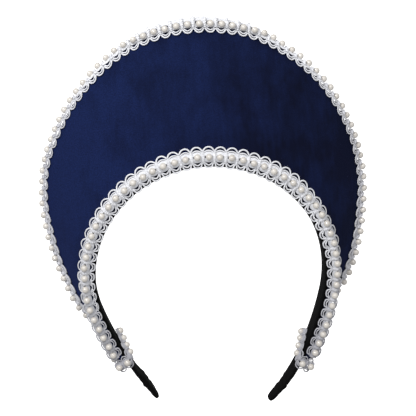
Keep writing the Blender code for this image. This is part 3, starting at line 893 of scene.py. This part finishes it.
def make_pearl(name, colours):
    """Lacquered imitation pearl: cream acrylic under a clear coat, with a satin depth."""
    material, tree, shader = new_material(
        name, Roughness=0.28, Specular_IOR_Level=0.6, Coat_Weight=0.7, Coat_Roughness=0.08)
    coords = add_node(tree, "ShaderNodeTexCoord").outputs["Object"]
    tone = add_node(tree, "ShaderNodeTexNoise",
                    {"Vector": coords, "Scale": 1.0 / LACQUER_CLOUD, "Detail": 1.0}).outputs["Fac"]
    colour = add_node(tree, "ShaderNodeMix", {"Factor": tone, FIRST_COLOUR: linear(colours.pearl_low),
                                              SECOND_COLOUR: linear(colours.pearl_high)},
                      data_type="RGBA").outputs[MIXED_COLOUR]
    tree.links.new(colour, shader.inputs["Base Color"])
    return material


FINISHES = {
    "navy cotton velvet": make_velvet,
    "black woven polyester": make_band_cloth,
    "white viscose cord": make_braid_cord,
    "cream lacquered acrylic pearl": make_pearl,
}


def finish_named(name, context):
    """The material of this name, made when it is first asked for."""
    found = bpy.data.materials.get(name)
    return found if found else FINISHES[name](name, context.scene.crown_colours)


# Settings


class CrownColours(bpy.types.PropertyGroup):
    # The velvet's colours are mixed by the nap's patches, streaks and tufts, and by a painted light that
    # is lighter towards the left and darker towards the right.
    velvet_low: StringProperty(
        name="Velvet, dark", description="sRGB colour of the nap brushed down", default="#060a1f")
    velvet_high: StringProperty(
        name="Velvet, light", description="sRGB colour of the nap brushed up", default="#192858")
    velvet_sheen: StringProperty(
        name="Velvet, sheen", description="sRGB colour of the nap's sheen", default="#5a6cb8")
    cloth_low: StringProperty(
        name="Band cloth, dark", description="sRGB colour between threads", default="#050506")
    cloth_high: StringProperty(
        name="Band cloth, light", description="sRGB colour on threads", default="#141416")
    cord_low: StringProperty(
        name="Braid, shaded", description="sRGB colour of the duller cord", default="#cbccd2")
    cord_high: StringProperty(
        name="Braid, bright", description="sRGB colour of the cleaner cord", default="#ebecf0")
    # Painted shade: the grey that the cord is painted towards the tips and at the crown's sides.
    cord_painted_shade: StringProperty(
        name="Braid, worn", description="sRGB colour of the cord where it is handled",
        default="#a4a4ab")
    pearl_low: StringProperty(
        name="Pearl, warm", description="sRGB colour of the warmer lacquer", default="#c0bab2")
    pearl_high: StringProperty(
        name="Pearl, pale", description="sRGB colour of the paler lacquer", default="#d9d5cf")


class CrownSizes(bpy.types.PropertyGroup):
    pearl_radius: FloatProperty(
        name="Pearl radius", description="Radius of a pearl", default=0.00195, unit="LENGTH",
        precision=5)
    board_cells: IntProperty(
        name="Board cells", description="Cells along the velvet board", default=230, min=60)
    band_cells: IntProperty(
        name="Band cells", description="Cells along the headband", default=420, min=60)


class CrownStage(bpy.types.PropertyGroup):
    floor_size: FloatProperty(
        name="Floor size", description="Side of the floor", default=6.0, unit="LENGTH")
    floor_colour: StringProperty(
        name="Floor colour", description="sRGB colour of the floor", default="#fbfbfb")
    floor_glow: FloatProperty(
        name="Floor glow", description="Light given by the translucent floor", default=1.0)
    key_power: FloatProperty(
        name="Key light", description="Power of the soft light at the upper left", default=3.8,
        unit="POWER")
    fill_power: FloatProperty(
        name="Fill light", description="Power of the wide light overhead", default=5.8,
        unit="POWER")
    sky: FloatVectorProperty(
        name="Room light", description="Colour of the light from all round", default=(1, 1, 1),
        subtype="COLOR")
    sky_strength: FloatProperty(
        name="Room strength", description="Strength of the light from all round", default=0.5)


# Pieces


def squared_off(wave, power):
    """A sine wave filled out towards its ends, so that a section has flat faces."""
    return np.sign(wave) * np.abs(wave) ** power


def hump(at, middle, spread):
    """A smooth hump, 1 high at its middle."""
    return np.exp(-((at - middle) / spread) ** 2)


def tip_width(station):
    """Width of the band, which narrows to rounded tips."""
    narrowed = 1.0 - ramp(from_tip(station), TIP_TAPER)
    width = BAND_WIDTH + (TIP_WIDTH - BAND_WIDTH) * narrowed
    share = 1.0 - ramp(from_tip(station), TIP_ROUND)
    return width - TIP_WIDTH * 0.5 * (1.0 - np.sqrt(1.0 - share * share))


def cloth_section(station, turn):
    """Place on the band's cloth, at an angle round it from the middle of its front edge."""
    across = squared_off(np.cos(turn), CLOTH_SQUARE[0])
    through = squared_off(np.sin(turn), CLOTH_SQUARE[1])
    width = tip_width(station)
    thick = BAND_THICK * ramp(width, TIP_WIDTH) ** 0.5
    up = BAND_WIDTH / 2.0 + across * width / 2.0
    out = BAND_THICK / 2.0 + through * thick / 2.0
    rest = from_tip(station)
    slanted = np.sin(rest * SLANTED_RIPPLE[1] + turn) * SLANTED_RIPPLE[0]
    straight = np.sin(rest * STRAIGHT_RIPPLE[1]) * STRAIGHT_RIPPLE[0]
    at_edge = np.sin(rest * EDGE_RIPPLE[1] + 1.0) * EDGE_RIPPLE[0]
    pucker = hump(rest, *PUCKER_PLACE)
    fold = sum(height * hump(rest, middle, spread) for height, middle, spread in FOLDS)
    out = out + (slanted + straight) * pucker - fold * (station < 0.0) * np.clip(-through, 0.0, 1.0)
    return pair(out, up + at_edge * pucker * np.clip(across, 0.0, 1.0))


class CROWN_OT_headband(bpy.types.Operator):
    """Build the cloth-covered headband"""

    bl_idname = "crown.headband"
    bl_label = "Headband"

    def execute(self, context):
        cells = context.scene.crown_sizes.band_cells
        shape = new_shape()
        made = bmesh.ops.create_grid(shape, x_segments=cells, y_segments=CLOTH_SIDES, size=0.5,
                                     calc_uvs=True)
        flat = np.array([vert.co for vert in made["verts"]]) + 0.5
        length = band_length(-1) + band_length(1)
        scale_map(shape, shape.faces, length, 2.0 * (BAND_WIDTH + BAND_THICK))
        # The cells crowd towards the tips, which are rounded and puckered.
        crowded = 0.5 - 0.5 * np.cos(math.pi * flat[:, 0])
        share = (1.0 - CLOTH_CROWDING) * flat[:, 0] + CLOTH_CROWDING * crowded
        station = -band_length(-1) + length * share
        section = cloth_section(station, flat[:, 1] * 2.0 * math.pi)
        move_points(made["verts"], place(station, section))
        bmesh.ops.remove_doubles(shape, verts=shape.verts[:], dist=MERGE)
        cloth = finish_named("black woven polyester", context)
        finish_piece("headband_cloth", shape, cloth, "headband")
        return {"FINISHED"}


def board_waves(station, reach, reach_edge):
    """How far the covered card's slight waves and its crease move the board's face."""
    inner = ramp(reach - WAVES_FROM_BAND, WAVES_FADE_IN)
    outer = ramp(reach_edge - WAVES_FROM_RIM - reach, WAVES_FADE_OUT)
    long = np.sin(station * 85.0 + 1.3) * np.sin(reach * 75.0 + 0.6)
    short = np.sin(station * 210.0 - reach * 90.0) * np.sin(reach * 160.0 + 2.0)
    start, end = CREASE_ENDS
    fade = ramp(station - start, CREASE_FADES[0]) * ramp(end - station, CREASE_FADES[1])
    line = reach_edge - CREASE_FROM_RIM + CREASE_RISE * np.clip(station, 0.0, end)
    crease = hump(reach, line, CREASE_SPREAD) * fade
    return (LONG_WAVE * long + SHORT_WAVE * short) * inner * outer - CREASE_DEPTH * crease


def velvet_front(station, reach, reach_edge):
    """Place on the board's front, which comes down to the band from under the inner trim."""
    face, _ = board_face(station, np.maximum(reach, RIDGE_REACH))
    face = face + pair(0.0, board_waves(station, reach, reach_edge))
    ridge, _ = board_face(station, np.full_like(station, RIDGE_REACH))
    seat = BAND_THICK + GAP
    root = pair(seat, ridge[:, 1] - (ridge[:, 0] - seat) * np.tan(inner_fall_at(station)))
    share = ramp(reach, RIDGE_REACH)[:, None]
    return np.where(share < 1.0, root + (ridge - root) * share, face)


def velvet_back(station, reach, reach_edge):
    """Place on the board's back, which bulges as its front domes."""
    lean = np.minimum(lean_at(station), BOARD_ROOT_LEAN)
    root = pair(BAND_THICK + GAP, BAND_WIDTH - BOARD_THICK / np.cos(lean))
    _, _, normal = rim_frame(station)
    last = board_face(station, reach_edge)[0] - normal * BOARD_THICK
    far = (reach / reach_edge)[:, None]
    bulge = (BOARD_DOME * reach_edge ** 2 / 2.0)[:, None] * far * (1.0 - far)
    return root + (last - root) * far + normal * bulge


def velvet_rim(station, turned):
    """Place on the board's rounded rim, turned from its foremost line."""
    middle, ahead, normal = rim_frame(station)
    away = ahead * np.cos(turned)[:, None] + normal * np.sin(turned)[:, None]
    return middle + away * (BOARD_THICK / 2.0)


class CROWN_OT_board(bpy.types.Operator):
    """Build the velvet-covered crown board"""

    bl_idname = "crown.board"
    bl_label = "Crown Board"

    def execute(self, context):
        shape = flat_blank(context.scene.crown_sizes.board_cells, BOARD_CELLS_ACROSS)
        flat = points_of(shape)
        station = -BOARD_END[-1] + (BOARD_END[-1] + BOARD_END[1]) * flat[:, 0]
        in_front = flat[:, 2] > 0.5
        cell = flat[:, 1] * BOARD_CELLS_ACROSS
        face_cells = BOARD_CELLS_ACROSS - RIM_CELLS
        reach_edge = reach_at(station) - BOARD_THICK / 2.0
        reach = reach_edge * ramp(cell, face_cells)
        front = velvet_front(station, reach, reach_edge)
        back = velvet_back(station, reach, reach_edge)
        turned = ramp(BOARD_CELLS_ACROSS - cell, RIM_CELLS) * math.pi / 2.0
        rim = velvet_rim(station, np.where(in_front, turned, -turned))
        face = np.where(in_front[:, None], front, back)
        section = np.where((cell > face_cells)[:, None], rim, face)
        move_points(shape.verts, place(station, section))
        velvet = finish_named("navy cotton velvet", context)
        finish_piece("crown_board_velvet", shape, velvet, "crown_board")
        return {"FINISHED"}


def build_trim(context, name, count, bend, runs, seat):
    """Builds a trim's braid and pearls, which stand for the node of its name."""
    braid = lay_braid(count, bend, runs, SEEDS[name])
    cord = finish_named("white viscose cord", context)
    finish_piece(name + "_braid", braid, cord, name)
    radius = context.scene.crown_sizes.pearl_radius
    pearls = stand_pearls(count, bend, radius, seat, SEEDS[name] + 1)
    pearl = finish_named("cream lacquered acrylic pearl", context)
    finish_piece(name + "_pearls", pearls, pearl, name)


class CROWN_OT_inner_trim(bpy.types.Operator):
    """Lay the pearl braid over the joint of board and band"""

    bl_idname = "crown.inner_trim"
    bl_label = "Inner Trim"

    def execute(self, context):
        count, bend = trim_route(inner_trim_section, INNER_TRIM_END)
        last = count - 1
        runs = (
            (-1.0, CLOSED_HALF, 0, last),
            (1.0, ARM_HALF, 0, ARM_PEARLS - 1),
            (1.0, OPEN_HALF, ARM_PEARLS, last - ARM_PEARLS),
            (1.0, ARM_HALF, last - ARM_PEARLS + 1, last),
        )
        build_trim(context, "inner_trim", count, bend, runs, INNER_SEAT)
        return {"FINISHED"}


class CROWN_OT_outer_trim(bpy.types.Operator):
    """Wrap the pearl braid over the board's outer edge"""

    bl_idname = "crown.outer_trim"
    bl_label = "Outer Trim"

    def execute(self, context):
        count, bend = trim_route(outer_trim_section, BOARD_END)
        runs = [(side, EDGE_HALF, 0, count - 1) for side in (-1.0, 1.0)]
        build_trim(context, "outer_trim", count, bend, runs, OUTER_SEAT)
        return {"FINISHED"}


class CROWN_OT_end_wraps(bpy.types.Operator):
    """Turn the inner braid's tails round the arms near their tips"""

    bl_idname = "crown.end_wraps"
    bl_label = "End Wraps"

    def execute(self, context):
        runs = [(side, OPEN_HALF, 0, WRAP_PEARLS - 1) for side in (-1.0, 1.0)]
        for arm, name in ((-1, "left_end_wrap"), (1, "right_end_wrap")):
            build_trim(context, name, WRAP_PEARLS, wrap_route(arm), runs, INNER_SEAT)
        return {"FINISHED"}


# Stage

# The camera looks at the middle of the arch's front edge from this far, turned by these angles from
# straight above the object as it is before it is laid down. In a square picture of so many pixels, the
# scale there is so many metres a pixel, and the middle of the arch is at this pixel. The sensor's width
# is in millimetres.
VIEW_TILT = math.radians(20.4)
VIEW_YAW = math.radians(6.0)
VIEW_ROLL = math.radians(-4.2)
VIEW_DISTANCE = 0.780
VIEW_SCALE = 0.000565
VIEW_PIXEL = (203.9, 167.8)
PICTURE = 416
SENSOR = 36.0

# A light's direction by the camera's right, up and back, its distance from the origin, and its size.
KEY_LIGHT = ((-0.55, 0.60, 1.0), 0.85, 0.2)
FILL_LIGHT = ((0.05, 0.35, 1.0), 1.2, 0.9)


def view_axes():
    """Right, up and back directions of the camera, before the object is laid down."""
    back = Vector((-math.sin(VIEW_YAW), math.cos(VIEW_YAW) * math.sin(VIEW_TILT),
                   math.cos(VIEW_YAW) * math.cos(VIEW_TILT)))
    right = Vector((math.cos(VIEW_YAW), math.sin(VIEW_YAW) * math.sin(VIEW_TILT),
                    math.sin(VIEW_YAW) * math.cos(VIEW_TILT)))
    roll = Matrix.Rotation(VIEW_ROLL, 3, back)
    right = roll @ right
    return right, back.cross(right), back


class CROWN_OT_stage(bpy.types.Operator):
    """Set the floor, the lights and the camera"""

    bl_idname = "crown.stage"
    bl_label = "Stage"

    def execute(self, context):
        scene = context.scene
        stage = scene.crown_stage
        axes = [Matrix(REST_TURN) @ axis for axis in view_axes()]
        self.lay_floor(stage)
        scene.camera = self.set_camera()
        self.add_light("key light", axes, KEY_LIGHT, stage.key_power)
        self.add_light("fill light", axes, FILL_LIGHT, stage.fill_power)
        scene.world = self.room_light(stage)
        scene.view_settings.view_transform = "Standard"
        return {"FINISHED"}

    def lay_floor(self, stage):
        """A lit white floor, which throws no light on the object."""
        shape = new_shape()
        bmesh.ops.create_grid(shape, x_segments=1, y_segments=1, size=stage.floor_size / 2.0)
        mesh = mesh_of("floor", shape)
        acrylic, _, _ = new_material(
            "lit white acrylic floor", Roughness=0.9, Specular_IOR_Level=0.1,
            Base_Color=linear(stage.floor_colour), Emission_Color=(1.0, 1.0, 1.0, 1.0),
            Emission_Strength=stage.floor_glow)
        mesh.materials.append(acrylic)
        floor = show("floor", mesh)
        floor.visible_diffuse = False
        floor.visible_glossy = False

    def set_camera(self):
        """The camera, placed by the arch's middle."""
        right, up, back = view_axes()
        turn = Matrix(REST_TURN)
        off_x = (VIEW_PIXEL[0] - PICTURE / 2.0) * VIEW_SCALE
        off_y = (PICTURE / 2.0 - VIEW_PIXEL[1]) * VIEW_SCALE
        spot = Vector((0.0, 0.0, BAND_WIDTH)) + back * VIEW_DISTANCE - right * off_x - up * off_y
        lens = bpy.data.cameras.new("camera")
        lens.sensor_width = SENSOR
        lens.lens = SENSOR * VIEW_DISTANCE / VIEW_SCALE / PICTURE
        placing = (turn @ Matrix((right, up, back)).transposed()).to_4x4()
        placing.translation = turn @ spot + Vector(REST_PLACE)
        camera = show("camera", lens)
        camera.matrix_world = placing
        return camera

    def add_light(self, name, axes, layout, power):
        """A round area light, aimed at the origin."""
        direction, distance, size = layout
        light = bpy.data.lights.new(name, "AREA")
        light.shape = "DISK"
        light.size = size
        light.energy = power
        lamp = show(name, light)
        away = sum((axis * part for axis, part in zip(axes, direction)), Vector())
        away.normalize()
        lamp.location = away * distance
        lamp.rotation_euler = away.to_track_quat("Z", "Y").to_euler()

    def room_light(self, stage):
        """Even light from all round."""
        world = bpy.data.worlds.new("room")
        world.use_nodes = True
        sky = world.node_tree.nodes["Background"]
        sky.inputs["Color"].default_value = (*stage.sky, 1.0)
        sky.inputs["Strength"].default_value = stage.sky_strength
        return world


class CROWN_PT_panel(bpy.types.Panel):
    """Lists the operators of the pieces and the stage, and their settings"""

    bl_idname = "CROWN_PT_panel"
    bl_label = "Crown Headband"
    bl_space_type = "VIEW_3D"
    bl_region_type = "UI"
    bl_category = "Crown Headband"

    def draw(self, context):
        column = self.layout.column()
        for operator in OPERATORS:
            column.operator(operator.bl_idname)
        for group in (context.scene.crown_sizes, context.scene.crown_colours,
                      context.scene.crown_stage):
            for name in group.bl_rna.properties.keys():
                if name not in ("rna_type", "name"):
                    column.prop(group, name)


SETTINGS = {"crown_colours": CrownColours, "crown_sizes": CrownSizes, "crown_stage": CrownStage}
OPERATORS = (CROWN_OT_stage, CROWN_OT_headband, CROWN_OT_board, CROWN_OT_inner_trim,
             CROWN_OT_outer_trim, CROWN_OT_end_wraps)


def register():
    for group in SETTINGS.values():
        bpy.utils.register_class(group)
    for name, group in SETTINGS.items():
        setattr(bpy.types.Scene, name, PointerProperty(type=group))
    for item in (*OPERATORS, CROWN_PT_panel):
        bpy.utils.register_class(item)


def unregister():
    for item in reversed((*OPERATORS, CROWN_PT_panel)):
        bpy.utils.unregister_class(item)
    for name in SETTINGS:
        delattr(bpy.types.Scene, name)
    for group in SETTINGS.values():
        bpy.utils.unregister_class(group)


def main():
    register()
    bpy.ops.crown.stage()
    bpy.ops.crown.headband()
    bpy.ops.crown.board()
    bpy.ops.crown.inner_trim()
    bpy.ops.crown.outer_trim()
    bpy.ops.crown.end_wraps()


if __name__ == "__main__":
    main()
